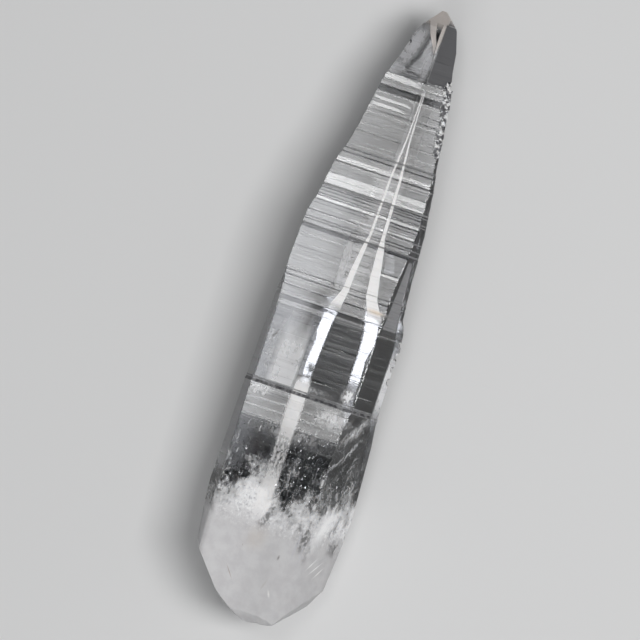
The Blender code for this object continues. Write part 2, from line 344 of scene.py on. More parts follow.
def along(table, distance):
    """The value of a table at these distances, on straight lines between its points."""
    places, values = zip(*table)
    return np.interp(distance, places, values)


def outward(angle):
    return math.cos(math.radians(angle)), math.sin(math.radians(angle))


def corner(first_angle, first_reach, second_angle, second_reach):
    """Where two faces of the cross-section meet, as (across, height)."""
    (ax, az), (bx, bz) = outward(first_angle), outward(second_angle)
    turn = ax * bz - az * bx
    return (first_reach * bz - az * second_reach) / turn, (ax * second_reach - first_reach * bx) / turn


def reach_of(angle, point):
    """How far out a point lies in the direction of a face."""
    x, z = outward(angle)
    return x * point[0] + z * point[1]


def saw(distance, ledges):
    """How far the ledges move a face in or out of its straight line: a saw with one tooth a ledge."""
    step = np.zeros_like(distance)
    for (place, drop), (next_place, next_drop) in zip(ledges, ledges[1:]):
        inside = (distance > place) & (distance < next_place)
        share = (distance - place) / (next_place - place)
        step = np.where(inside, -drop / 2 + share * (drop + next_drop) / 2, step)
    return step


def front_relief(distance):
    """How far the front face lies from its straight line: strips of their own tilt, with grooves between some."""
    starts, tilts = (np.array(column) for column in zip(*FRONT_BANDS))
    band = np.clip(np.searchsorted(starts, distance, side="right") - 1, 0, len(starts) - 2)
    start, end = starts[band], starts[band + 1]
    fall = (along(FRONT_HEIGHT, start) - along(FRONT_HEIGHT, end)) / (end - start)
    relief = (fall - np.tan(np.radians(tilts[band]))) * (distance - (start + end) / 2)
    relief = np.where(distance < LAST_FRONT_BAND, relief, 0.0)
    for place, depth, width in GROOVES:
        relief = relief - depth * np.clip(1 - np.abs(distance - place) / (width / 2), 0, 1)
    return relief


def streak_height(distance):
    """How far out the two long facets beside the back face lie, before they are evened out."""
    left, right = along(BACK_LEFT_REACH, distance), along(BACK_RIGHT_REACH, distance)
    back = np.where(distance > RESTING_END, -along(BACK_HEIGHT, distance), 0.0)
    back = np.minimum(back, reach_of(BACK, corner(BACK_LEFT, left, BACK_RIGHT, right)) - LEAST_FACET)
    level = back - along(STREAK_RISE, distance)
    return np.array([
        reach_of(LEFT_STREAK, corner(BACK_LEFT, left, BACK, level)),
        reach_of(RIGHT_STREAK, corner(BACK, level, BACK_RIGHT, right)),
    ])


def face_reach(distance):
    """How far out each face lies at these distances."""
    step = saw(distance, LEDGES)
    back_step = step * BACK_LEDGE_SHARE
    reach = {
        FRONT: along(FRONT_HEIGHT, distance) + front_relief(distance),
        RIGHT: along(RIGHT_REACH, distance) + step,
        LEFT: along(LEFT_REACH, distance) + step,
        BACK_LEFT: along(BACK_LEFT_REACH, distance) + back_step,
        BACK_RIGHT: along(BACK_RIGHT_REACH, distance) + back_step,
        BACK: np.where(distance > RESTING_END, np.minimum(0.0, back_step - along(BACK_HEIGHT, distance)), 0.0),
    }
    ridge = corner(BACK_LEFT, reach[BACK_LEFT], BACK_RIGHT, reach[BACK_RIGHT])
    reach[BACK] = np.minimum(reach[BACK], reach_of(BACK, ridge) - LEAST_FACET)
    shoulder = corner(FRONT, reach[FRONT], BACK_LEFT, reach[BACK_LEFT])
    reach[LEFT] = np.minimum(reach[LEFT], reach_of(LEFT, shoulder) - LEAST_FACET)
    shifts = np.linspace(-STREAK_BLEND, STREAK_BLEND, 9)
    evened = np.mean([streak_height(np.clip(distance + shift, 0, LENGTH)) for shift in shifts], axis=0)
    left_end = corner(BACK_LEFT, reach[BACK_LEFT], BACK, reach[BACK])
    right_end = corner(BACK, reach[BACK], BACK_RIGHT, reach[BACK_RIGHT])
    reach[LEFT_STREAK] = np.minimum(evened[0], reach_of(LEFT_STREAK, left_end) - LEAST_FACET)
    reach[RIGHT_STREAK] = np.minimum(evened[1], reach_of(RIGHT_STREAK, right_end) - LEAST_FACET)
    front_right = corner(RIGHT, reach[RIGHT], FRONT, reach[FRONT])
    worn = reach_of(TIP_RIGHT, front_right) - WORN_EDGE / 2
    reach[TIP_RIGHT] = np.minimum(worn, along(TIP_REACH, distance) + step)
    tip_side = corner(BACK_RIGHT, reach[BACK_RIGHT], TIP_RIGHT, reach[TIP_RIGHT])
    reach[RIGHT] = np.minimum(reach[RIGHT], reach_of(RIGHT, tip_side) - LEAST_FACET)
    far_right = corner(BACK_RIGHT, reach[BACK_RIGHT], RIGHT, reach[RIGHT])
    reach[SIDE_EDGE] = reach_of(SIDE_EDGE, far_right) - WORN_EDGE / 2
    return reach


def cross_sections(distance):
    """The corners of the crystal at these distances, each the start of its face: (face, across and height, distance)."""
    reach = face_reach(distance)
    return np.array([corner(a, reach[a], b, reach[b]) for a, b in zip(FACES[-1:] + FACES, FACES)])


def ring_points(corners, distance):
    """Points round the crystal at each distance: (distance, point, across and height)."""
    columns = []
    for i, face in enumerate(FACES):
        start, end = corners[i], corners[(i + 1) % len(FACES)]
        for j in range(COLUMNS[face]):
            share = (j / COLUMNS[face]) ** CROWDING.get(face, 1.0)
            point = start + (end - start) * share
            if face in (RIGHT, TIP_RIGHT, FRONT):
                point = worn_round(point, face, corners, distance)
            columns.append(point)
    return np.array(columns).transpose(2, 0, 1)


def worn_round(point, face, corners, distance):
    """Moves a point near the edge between the front and right faces onto an arc, where the base is worn."""
    edge = corners[FACES.index(FRONT)]
    length = ROUND_LENGTH * np.clip((ROUND_TO - distance) / (ROUND_TO - ROUND_FROM), 0.0, 1.0) + 1e-6
    front_way, right_way = outward(FRONT + 90.0), outward(RIGHT - 90.0)
    from_edge = np.linalg.norm(point - edge, axis=0)
    side = -1.0 if face == FRONT else 1.0
    share = np.clip(0.5 + 0.5 * side * from_edge / length, 0.0, 1.0)
    first = edge + np.outer(front_way, length)
    last = edge + np.outer(right_way, length)
    arc = (1 - share) ** 2 * first + 2 * share * (1 - share) * edge + share**2 * last
    return np.where(from_edge < length, arc, point)


def growth_lines(generator):
    """The distances at which the fine growth lines lie."""
    places = [LINES_FROM]
    while places[-1] < LENGTH - 3.0:
        places.append(places[-1] + generator.uniform(*LINE_SPACING))
    return np.array(places)


def stations(lines):
    """The distances at which the cross-section is taken, above the broken base."""
    edges = [place for place, _ in LEDGES] + [place for place, _ in FRONT_BANDS]
    wanted = [place + side * LEDGE_RUN / 2 for place in edges for side in (-1, 1)]
    wanted += [place + side * width / 2 for place, _, width in GROOVES for side in (-1, 0, 1)]
    wanted += [BELOW_TIP, ABOVE_TIP, LENGTH]
    wanted += [place + side * LINE_RUN / 2 for place in lines for side in (-1, 1)]
    wanted += list(np.arange(BASE_END, LENGTH, MAIN_STEP))
    chosen = [BASE_END]
    for place in wanted:
        if BASE_END < place <= LENGTH and min(abs(place - other) for other in chosen) > 0.025:
            chosen.append(place)
    return np.array(sorted(chosen))


def add_growth_lines(points, distance, lines, generator):
    """Leans each strip between two growth lines a little, more on some faces and at some places across."""
    strip = np.clip(np.searchsorted(lines, distance, side="right") - 1, 0, len(lines) - 2)
    middle = (lines[strip] + lines[strip + 1]) / 2
    used = (distance > lines[0]) & (distance < lines[-1])
    column = 0
    for face in FACES:
        lean = np.tan(np.radians(generator.normal(0, LINE_LEAN[face], len(lines))))
        phase = generator.uniform(0, 2 * math.pi, len(lines))
        turns = generator.uniform(0.2, 0.9, len(lines))
        x, z = outward(face)
        calm = (face == FRONT) & (middle > CALM_FROM) & (middle < CALM_TO)
        lean[np.unique(strip[calm])] *= CALM_SHARE
        for j in range(COLUMNS[face]):
            share = j / COLUMNS[face]
            strength = 0.5 + 0.5 * np.sin(phase[strip] + 2 * math.pi * turns[strip] * share)
            depth = np.abs(lean[strip]) * (lines[strip + 1] - lines[strip]) / 2
            relief = np.where(used, (lean[strip] * (distance - middle) - depth) * strength, 0.0)
            points[:, column, 0] += x * relief
            points[:, column, 1] += z * relief
            column += 1
    return points


def break_surface(across, height):
    """How far along the crystal its broken base lies, at this place in the cross-section."""
    flats = np.max([start + across * lean + height * tip for start, lean, tip in BREAKS], axis=0)
    ripples = [
        noise.fractal(Vector((x * 0.35, 0.0, z * 0.35)), 0.9, 2.1, 4) for x, z in zip(across.ravel(), height.ravel())
    ]
    return flats + BREAK_RIPPLE * np.abs(np.array(ripples).reshape(across.shape))


def base_rows():
    """Rings from the rim of the break up to where the whole cross-section begins: (row, point, x y z)."""
    levels = np.linspace(0, BASE_END, BASE_ROWS + 1)
    low = ring_points(cross_sections(levels), levels)
    size = low.shape[1]

    def section(at):
        return np.array([[np.interp(at[i], levels, low[:, i, k]) for k in (0, 1)] for i in range(size)])

    foot = np.zeros(size)
    for _ in range(12):
        place = section(foot)
        foot = (foot + break_surface(place[:, 0], place[:, 1])) / 2
    rows = []
    for row in range(BASE_ROWS):
        at = foot + (BASE_END - foot) * row / BASE_ROWS
        place = section(at)
        rows.append(np.stack([place[:, 0], at, place[:, 1]], axis=-1))
    return np.array(rows)


def cap_rings(rim):
    """Rings over the broken end, from its middle out to the rim."""
    middle = rim.mean(axis=0)
    rings = []
    for ring in range(1, CAP_RINGS + 1):
        inner = middle + (rim - middle) * ring / (CAP_RINGS + 1)
        inner[:, 1] = break_surface(inner[:, 0], inner[:, 2])
        rings.append(inner)
    middle[1] = break_surface(middle[:1], middle[2:])[0]
    return middle, np.array(rings)


def chipped(points):
    """The points, moved out of any ball that bites the edge there, and how much each was moved."""
    moved = np.zeros(points.shape[:-1])
    for face, distance, radius in CHIPS:
        x, z = cross_sections(np.array([distance]))[FACES.index(face), :, 0]
        out_x, out_z = outward(face - 20.0)
        centre = (x + out_x * radius * CHIP_STANDOFF, distance, z + out_z * radius * CHIP_STANDOFF)
        near = np.linalg.norm(points - np.array(centre), axis=-1) < radius
        for at in np.argwhere(near):
            point = points[tuple(at)]
            away = Vector(point) - Vector(centre)
            rough = 1 + CHIP_ROUGHNESS * noise.noise(Vector(point) * 2.6)
            placed = Vector(centre) + away.normalized() * radius * rough
            moved[tuple(at)] += (placed - Vector(point)).length
            points[tuple(at)] = placed
    return points, moved


def crystal_mesh():
    """The whole crystal as one closed mesh of rings, in metres."""
    generator = np.random.default_rng(SEED)
    lines = growth_lines(generator)
    distance = stations(lines)
    main = add_growth_lines(ring_points(cross_sections(distance), distance), distance, lines, generator)
    level = np.broadcast_to(distance[:, None], main.shape[:2])
    body = np.stack([main[..., 0], level, main[..., 1]], axis=-1)
    rows = base_rows()
    middle, cap = cap_rings(rows[0])
    rings, moved = chipped(np.concatenate([cap, rows, body]))
    count, size = rings.shape[:2]
    vertices = np.concatenate([rings.reshape(-1, 3), [middle], [rings[-1].mean(axis=0)]]) * MM
    faces = []
    for ring in range(count - 1):
        lower, upper = ring * size, (ring + 1) * size
        faces += [(lower + i, upper + i, upper + (i + 1) % size, lower + (i + 1) % size) for i in range(size)]
    base, tip, last = count * size, count * size + 1, (count - 1) * size
    faces += [(base, i, (i + 1) % size) for i in range(size)]
    faces += [(tip, last + (i + 1) % size, last + i) for i in range(size)]
    mesh = bpy.data.meshes.new("crystal")
    mesh.from_pydata([tuple(v) for v in vertices], [], faces)
    smooth_rings = range(CAP_RINGS, CAP_RINGS + BASE_ROWS + int(np.sum(distance < SMOOTH_TO)))
    mesh.polygons.foreach_set("use_smooth", [i // size in smooth_rings for i in range(len(faces))])
    broken = mesh.attributes.new("broken", "FLOAT", "POINT")
    broken.data.foreach_set("value", np.append(moved.ravel(), [0.0, 0.0]).astype(np.float32))
    mesh.update()
    upwards = mesh.attributes.new("upwards", "FLOAT", "FACE")
    upwards.data.foreach_set("value", [polygon.normal.z for polygon in mesh.polygons])
    return mesh


def place_in_box(mesh):
    """Moves the crystal onto the solid it stands for, by its tip and its right edge, and keeps it in that box."""
    low, high = (np.array(c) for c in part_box("quartz_point"))
    points = np.empty(len(mesh.vertices) * 3, np.float32)
    mesh.vertices.foreach_get("co", points)
    points = points.reshape(-1, 3)
    shift = np.array([high[0] - points[:, 0].max(), high[1] - points[:, 1].max(), 0.0])
    points = np.clip(points + shift, low, high)
    mesh.vertices.foreach_set("co", points.ravel().astype(np.float32))
    mesh.update()
    return Vector(shift)


class Graph:
    """Short names for the node sums that a material is made of."""

    def __init__(self, material):
        material.use_nodes = True
        self.tree = material.node_tree
        self.shader = self.tree.nodes["Principled BSDF"]

    def node(self, kind, **settings):
        made = self.tree.nodes.new(kind)
        for name, value in settings.items():
            setattr(made, name, value)
        return made

    def link(self, value, socket):
        if isinstance(value, bpy.types.NodeSocket):
            self.tree.links.new(value, socket)
        else:
            socket.default_value = value

    def math(self, operation, *values):
        made = self.node("ShaderNodeMath", operation=operation)
        for value, socket in zip(values, made.inputs):
            self.link(value, socket)
        return made.outputs[0]

    def add(self, first, second):
        return self.math("ADD", first, second)

    def times(self, first, second):
        return self.math("MULTIPLY", first, second)

    def larger(self, first, second):
        return self.math("MAXIMUM", first, second)

    def ramp(self, value, low, high, at_low=0.0, at_high=1.0):
        """A smooth step from one value to another while the input goes from low to high."""
        made = self.node("ShaderNodeMapRange", interpolation_type="SMOOTHSTEP")
        names = ("Value", "From Min", "From Max", "To Min", "To Max")
        for name, given in zip(names, (value, low, high, at_low, at_high)):
            self.link(given, made.inputs[name])
        return made.outputs["Result"]

    def path(self, value, points):
        """Straight lines from point to point, each (value in, value out)."""
        total = points[0][1]
        for (low, at_low), (high, at_high) in zip(points, points[1:]):
            made = self.node("ShaderNodeMapRange")
            for name, given in zip(("Value", "From Min", "From Max", "To Max"), (value, low, high, at_high - at_low)):
                self.link(given, made.inputs[name])
            total = self.add(total, made.outputs["Result"])
        return total

    def hump(self, value, centre, half_width):
        """One at the centre, falling to nothing at half_width on either side."""
        away = self.math("ABSOLUTE", self.add(value, -centre))
        return self.ramp(away, 0.0, half_width, 1.0, 0.0)

    def stretched(self, vector, x, y, z):
        made = self.node("ShaderNodeVectorMath", operation="MULTIPLY")
        self.link(vector, made.inputs[0])
        made.inputs[1].default_value = (x, y, z)
        return made.outputs[0]

    def noise(self, vector, scale, detail=4.0, roughness=0.55, distortion=0.0):
        made = self.node("ShaderNodeTexNoise")
        self.link(vector, made.inputs["Vector"])
        made.inputs["Scale"].default_value = scale
        made.inputs["Detail"].default_value = detail
        made.inputs["Roughness"].default_value = roughness
        made.inputs["Distortion"].default_value = distortion
        return made.outputs["Fac"]

    def mix(self, share, first, second):
        made = self.node("ShaderNodeMix", data_type="RGBA")
        self.link(share, made.inputs["Factor"])
        self.link(first, made.inputs[6])
        self.link(second, made.inputs[7])
        return made.outputs[2]


def across_and_along(graph):
    """The place on the crystal, and its distances across and along, in millimetres."""
    place = graph.stretched(graph.node("ShaderNodeTexCoord").outputs["Object"], 1000, 1000, 1000)
    split = graph.node("ShaderNodeSeparateXYZ")
    graph.link(place, split.inputs[0])
    return place, split.outputs["X"], graph.add(split.outputs["Y"], LENGTH / 2), split.outputs["Z"]


def facing(graph):
    """Whether the skin faces up, as the front does, and whether it faces down."""
    upwards = graph.node("ShaderNodeAttribute", attribute_name="upwards").outputs["Fac"]
    return graph.ramp(upwards, 0.9, 0.95), graph.ramp(upwards, -0.3, -0.2, 1.0, 0.0)


def stroke(graph, across, distance, mark):
    """A soft leaning stroke: one on its middle line, nothing at its sides and ends."""
    x, y, half_width, half_length, lean = mark
    line = graph.add(across, graph.times(graph.add(distance, -y), -lean))
    return graph.times(graph.hump(line, x, half_width), graph.hump(distance, y, half_length))


def milk_share(graph, place, across, distance, shreds):
    """How milky the skin is: full at the base, with a torn soft edge that climbs in two places."""
    edge = graph.add(graph.times(graph.hump(across, *MILK_PEAK), MILK_PEAK_RISE), MILK_EDGE)
    edge = graph.add(edge, graph.ramp(across, *MILK_RIGHT, 0.0, MILK_RIGHT_RISE))
    edge = graph.add(edge, graph.ramp(across, *MILK_LEFT, -MILK_LEFT_FALL, 0.0))
    edge = graph.add(edge, graph.times(graph.add(graph.noise(place, 0.22, 3), -0.5), 7.0))
    edge = graph.add(edge, graph.times(graph.add(shreds, -0.5), 13.0))
    return graph.ramp(graph.add(edge, graph.times(distance, -1.0)), -4.5, 3.0)


def haze_share(graph, place, across, distance, height, grain):
    """How hazy the skin is above the milk: torn clouds that thin out towards the tip."""
    clouds = graph.noise(graph.stretched(place, 1.0, 0.7, 1.0), 0.3, 3, 0.5)
    torn = graph.noise(graph.stretched(place, 1.0, 0.7, 1.0), 0.9, 10, 0.74, 1.1)
    torn = graph.add(torn, graph.times(graph.add(clouds, -0.5), 0.9))
    torn = graph.add(torn, graph.times(graph.add(grain, -0.5), 0.55))
    full, end = HAZE_ENDS
    torn = graph.ramp(torn, graph.ramp(distance, full - 4.0, full + 6.0, 0.25, 0.5), 0.85)
    return graph.times(torn, graph.ramp(distance, full, end, HAZE_SHARE, 0.0))


def painted_left_highlight(graph, across, distance, height, grain):
    """Painted highlight: the pale streak down the left of the front face, where it runs into the haze, in place of the
    bright light that the facet beneath sends up.
    """
    low, high = LEFT_HIGHLIGHT_SIDES
    start, end = LEFT_HIGHLIGHT_ENDS
    ragged = graph.add(across, graph.times(graph.add(grain, -0.5), 0.7))
    left_highlight = graph.times(graph.ramp(ragged, low - 0.9, low), graph.ramp(ragged, high - 0.2, high + 0.4, 1.0, 0.0))
    left_highlight = graph.times(left_highlight, graph.ramp(distance, end - 3.5, end, 1.0, 0.0))
    left_highlight = graph.times(left_highlight, graph.ramp(distance, start - 3.0, start + 4.0))
    thin = graph.times(graph.hump(distance, *LEFT_HIGHLIGHT_THIN), graph.ramp(grain, 0.35, 0.6, 0.9, 0.2))
    mottled = graph.ramp(graph.add(grain, graph.times(across, -0.02)), 0.4, 0.65, 0.88, 0.68)
    left_highlight = graph.times(left_highlight, graph.math("SUBTRACT", mottled, thin))
    return graph.times(graph.larger(left_highlight, 0.0), graph.ramp(height, 13.0, 14.0))


def back_frost(graph, across, distance, height, down):
    """How frosted the back faces are: under the haze, towards the tip and along the ridge there."""
    share = graph.path(distance, BACK_FROST)
    share = graph.times(share, graph.ramp(across, 2.0, 4.0, 1.0, 0.0))
    left = graph.times(graph.ramp(height, 7.2, 8.0, RIDGE_FROST, 0.0), graph.ramp(across, 0.6, 0.8, 1.0, 0.0))
    right = graph.times(graph.ramp(height, 9.4, 10.4), graph.ramp(height, 13.2, 13.7, RIDGE_FROST, 0.0))
    right = graph.times(right, graph.ramp(across, 1.2, 1.6))
    ridge = graph.times(graph.larger(left, right), graph.ramp(distance, 105.8, 106.4))
    ridge = graph.times(ridge, graph.ramp(distance, 116.0, 117.0, 1.0, 0.0))
    return graph.times(graph.larger(share, ridge), down)


def painted_dark_reflections(graph, distance, height, shreds):
    """The share of the skin painted dark along growth lines across the front face, in place of the dark surroundings
    that its ledges reflect.
    """
    total = 0.0
    for place, half_width, strength in DARK_REFLECTION_LINES:
        away = graph.math("ABSOLUTE", graph.add(distance, -place))
        total = graph.larger(total, graph.ramp(away, half_width * 0.9, half_width * 1.5, strength, 0.0))
    total = graph.times(total, graph.ramp(shreds, 0.35, 0.6, 0.7, 1.0))
    return graph.times(total, graph.ramp(height, 13.0, 14.0))


def painted_shade_places(graph, across, distance, height):
    """The share of the skin painted with shade: the resting face, the narrow side face on the left and the right side
    of the tip.
    """
    clear = graph.ramp(distance, 24.0, 30.0)
    resting_shade = graph.times(graph.ramp(height, 0.1, 0.3, RESTING_SHADE, 0.0), clear)
    side = graph.times(graph.ramp(across, LEFT_SIDE - 0.1, LEFT_SIDE + 0.1, 0.6, 0.0), clear)
    side = graph.times(side, graph.ramp(distance, 60.0, 64.0, 1.0, 0.0))
    # Painted shade on the right side of the tip.
    tip_side = graph.times(graph.ramp(across, *TIP_SHADE_ACROSS, 0.0, TIP_SHADE_SHARE), graph.ramp(height, 8.0, 9.0))
    tip_side = graph.times(tip_side, between(graph, distance, TIP_LEDGE, 117.6, 0.3))
    return graph.larger(graph.larger(resting_shade, side), tip_side)


def between(graph, value, low, high, soft):
    """One between two moving limits, and nothing beyond them."""
    above = graph.ramp(graph.math("SUBTRACT", value, low), -soft, soft)
    return graph.times(above, graph.ramp(graph.math("SUBTRACT", value, high), -soft, soft, 1.0, 0.0))


def painted_side_shade(graph, across, distance, height):
    """The share of the skin painted with blue-grey shade on the right side, in a long facet that narrows to the tip.
    """
    low, high = (graph.path(distance, side) for side in SIDE_SHADE_SIDES)
    share = graph.times(between(graph, across, low, high, 0.12), between(graph, distance, *SIDE_SHADE_ENDS, 0.2))
    return graph.times(share, graph.ramp(height, 8.0, 9.0, 0.0, 0.4))


def painted_upper_highlights(graph, across, distance, height, lines):
    """Painted highlights: the two pale streaks that narrow towards the tip, in place of the light that the facets
    beneath send up.
    """
    total = 0.0
    for points in UPPER_HIGHLIGHTS:
        middle = graph.path(distance, [(y, x) for y, x, _ in points])
        half = graph.path(distance, [(y, half_width) for y, _, half_width in points])
        away = graph.math("ABSOLUTE", graph.math("SUBTRACT", across, middle))
        share = graph.ramp(graph.math("SUBTRACT", away, half), -0.08, 0.1, 1.0, 0.0)
        share = graph.times(share, between(graph, distance, points[0][0], points[-1][0], 1.2))
        total = graph.larger(total, share)
    total = graph.times(total, graph.ramp(lines, 0.2, 0.45, 0.6, 0.92))
    return graph.times(total, graph.ramp(height, 13.0, 14.0))


def painted_left_light(graph, across, distance, height, shreds):
    """Painted light: a pale haze on the front face, left of the bright streak, standing in for the light seen through
    the crystal there.
    """
    first, full, last, end = LEFT_PAINTED_LIGHT_SIDES
    share = graph.times(graph.ramp(across, first, full), graph.ramp(across, last, end, 1.0, 0.0))
    first, full, last, end = LEFT_PAINTED_LIGHT_ENDS
    share = graph.times(share, graph.times(graph.ramp(distance, first, full), graph.ramp(distance, last, end, 1.0, 0.3)))
    share = graph.times(share, graph.ramp(distance, end, end + 0.5, LEFT_PAINTED_LIGHT, 0.0))
    share = graph.times(share, graph.ramp(shreds, 0.3, 0.6, 0.75, 1.0))
    return graph.times(share, graph.ramp(height, 17.0, 18.0))


def chip_share(graph, place):
    """How broken the skin is, and the painted sparkle of the broken places, from dark shade to white glints."""
    broken = graph.node("ShaderNodeAttribute", attribute_name="broken").outputs["Fac"]
    painted_sparkle = graph.ramp(graph.noise(place, 1.3, 4, 0.7), 0.49, 0.55)
    return graph.ramp(broken, 0.02, 0.12, 0.0, 0.9), painted_sparkle


def quartz_material():
    """Clear quartz, frosted along its growth lines, with a milky base, haze above it and a pale apex, and with painted
    highlights, painted dark reflections and painted shade on its skin.
    """
    material = bpy.data.materials.new("clear_quartz")
    graph = Graph(material)
    place, across, distance, height = across_and_along(graph)
    front, down = facing(graph)
    shreds = graph.noise(graph.stretched(place, 1.0, 0.6, 1.0), 0.9, 6, 0.65)
    grain = graph.noise(graph.stretched(place, 1.0, 0.45, 1.0), 2.2, 6, 0.7)
    milk = milk_share(graph, place, across, distance, shreds)
    haze = haze_share(graph, place, across, distance, height, grain)
    # The painted highlight of the left streak.
    left_highlight = painted_left_highlight(graph, across, distance, height, grain)

    lines = graph.noise(graph.stretched(place, 0.03, 1.9, 0.03), 1.0, 3, 0.7)
    fine = graph.noise(graph.stretched(place, 0.03, 2.6, 0.03), 1.0, 3, 0.75)
    fine_share = graph.times(graph.ramp(fine, 0.5, 0.72, 0.0, 0.26), front)
    # Painted dark reflections along the fine growth lines of the front face.
    fine_dark_reflections = graph.times(graph.ramp(fine, 0.28, 0.45, 0.32, 0.0), graph.times(front, graph.ramp(distance, 44.0, 48.0)))
    frost_and_painted_light = graph.add(graph.ramp(lines, 0.5, 0.8, 0.0, 0.13), fine_share)
    frost_and_painted_light = graph.times(frost_and_painted_light, graph.path(distance, LINE_FROST))
    frost_and_painted_light = graph.times(frost_and_painted_light, graph.ramp(distance, 105.5, 106.0, 1.0, 0.3))
    # Painted light: pale frost in the middle of the front face, between the streaks.
    middle = graph.times(graph.hump(across, *PAINTED_PALE_MIDDLE), graph.ramp(distance, 60.5, 66.0))
    middle = graph.times(middle, graph.ramp(distance, 84.0, 92.0, 1.0, 0.0))
    frost_and_painted_light = graph.add(frost_and_painted_light, graph.times(middle, graph.ramp(lines, 0.3, 0.7, 0.15, 0.38)))
    wavy = graph.add(across, graph.times(graph.add(graph.noise(place, 0.7, 5, 0.7), -0.5), 2.0))
    # Smears of frost, and one painted highlight.
    for mark, strength in FROST_SMEARS_AND_HIGHLIGHT:
        smear = graph.times(stroke(graph, wavy, distance, mark), graph.ramp(shreds, 0.3, 0.6, 0.6, 1.0))
        smear = graph.times(smear, graph.ramp(grain, 0.38, 0.58, 0.2, 1.3))
        frost_and_painted_light = graph.larger(frost_and_painted_light, graph.times(smear, graph.times(graph.ramp(height, 8.0, 9.0), strength)))
    # Painted light left of the bright streak.
    frost_and_painted_light = graph.larger(frost_and_painted_light, painted_left_light(graph, across, distance, height, shreds))
    edge = graph.times(graph.ramp(height, 13.4, 14.4, 1.0, 0.0), graph.ramp(across, 11.0, 11.4))
    edge = graph.times(edge, graph.times(graph.hump(distance, *RIGHT_EDGE), graph.ramp(grain, 0.3, 0.5, 0.3, 1.2)))
    frost_and_painted_light = graph.larger(frost_and_painted_light, graph.math("MINIMUM", edge, 0.85))

    apex_and_painted_slivers = graph.ramp(graph.add(distance, graph.ramp(across, *TIP_SHADE_ACROSS, 0.0, -1.3)), *APEX, 0.0, 0.6)
    # Painted light: pale slivers join the pale apex.
    for points in PAINTED_SLIVERS:
        low = points[0][0]
        middle = graph.path(distance, [(y, x) for y, x, _ in points])
        half = graph.path(distance, [(y, half_width) for y, _, half_width in points])
        away = graph.math("ABSOLUTE", graph.math("SUBTRACT", across, middle))
        painted_sliver = graph.ramp(graph.math("SUBTRACT", away, half), -0.06, 0.08, 0.6, 0.0)
        apex_and_painted_slivers = graph.larger(apex_and_painted_slivers, graph.times(painted_sliver, graph.ramp(distance, low - 0.3, low + 0.3)))

    # The share of opaque skin: milk, haze, frost and apex, and the painted light and shade.
    cloud_and_painted_light = graph.larger(graph.larger(graph.times(milk, 0.93), haze), graph.larger(frost_and_painted_light, apex_and_painted_slivers))
    cloud_and_painted_light = graph.larger(graph.larger(cloud_and_painted_light, left_highlight), back_frost(graph, across, distance, height, down))
    # upper holds the painted highlights of the two upper streaks.
    upper = painted_upper_highlights(graph, across, distance, height, lines)
    cloud_and_painted_light = graph.larger(cloud_and_painted_light, upper)
    mottle = graph.ramp(graph.noise(place, 0.45, 5, 0.6), 0.3, 0.7)
    colour = graph.mix(mottle, (0.61, 0.60, 0.61, 1), (0.69, 0.685, 0.69, 1))
    # Painted shade: the milky colour darkens towards the right side.
    colour = graph.mix(graph.ramp(across, -6.0, 5.0), colour, graph.mix(0.14, colour, (0.0, 0.0, 0.0, 1)))
    colour = graph.mix(graph.ramp(distance, 17.0, 23.0), colour, (0.86, 0.86, 0.87, 1))
    torn_zone = graph.times(graph.ramp(distance, 15.0, 22.0, 0.0, 0.9), graph.ramp(distance, 28.0, 34.0, 1.0, 0.0))
    flecks = graph.noise(graph.stretched(place, 1.0, 0.7, 1.0), 2.0, 5, 0.7, 0.6)
    colour = graph.mix(graph.times(graph.ramp(flecks, 0.52, 0.62), torn_zone), colour, (0.98, 0.98, 0.98, 1))
    colour = graph.mix(graph.times(graph.ramp(flecks, 0.36, 0.46, 0.7, 0.0), torn_zone), colour, (0.35, 0.35, 0.37, 1))
    thin_dark = graph.times(graph.ramp(fine, 0.3, 0.5, 0.35, 0.0), graph.ramp(distance, 26.0, 34.0))
    colour = graph.mix(thin_dark, colour, (0.25, 0.25, 0.27, 1))
    colour = graph.mix(graph.ramp(apex_and_painted_slivers, 0.0, 0.5), colour, (0.80, 0.74, 0.70, 1))
    # Both painted highlights, of the left streak and of the upper streaks, are near white.
    colour = graph.mix(graph.larger(left_highlight, upper), colour, (0.97, 0.95, 0.94, 1))
    # Stains and cracks, and patches of painted light.
    for mark, strength, tint in STAINS_AND_PAINTED_LIGHT:
        share = graph.times(stroke(graph, across, distance, mark), graph.ramp(shreds, 0.3, 0.55, strength / 2, strength))
        colour = graph.mix(share, colour, (*tint, 1))
        cloud_and_painted_light = graph.larger(cloud_and_painted_light, graph.times(share, graph.ramp(height, 8.0, 9.0)))
    bent = graph.add(across, graph.times(graph.math("SUBTRACT", wavy, across), 1.2))
    for mark, strength in GAPS:
        share = graph.times(stroke(graph, bent, distance, mark), graph.ramp(grain, 0.4, 0.6, 0.1, strength * 1.6))
        share = graph.math("MINIMUM", share, strength)
        cloud_and_painted_light = graph.times(cloud_and_painted_light, graph.math("SUBTRACT", 1.0, share))
    # Painted dark reflections and painted shade, each mixed into the skin's colour.
    for share, tint in (
        (fine_dark_reflections, DARK_REFLECTION_TINT),
        (painted_dark_reflections(graph, distance, height, shreds), DARK_REFLECTION_TINT),
        (painted_shade_places(graph, across, distance, height), PAINTED_SHADE_TINT),
        (painted_side_shade(graph, across, distance, height), SIDE_SHADE_TINT),
    ):
        colour = graph.mix(share, colour, tint)
        cloud_and_painted_light = graph.larger(cloud_and_painted_light, share)
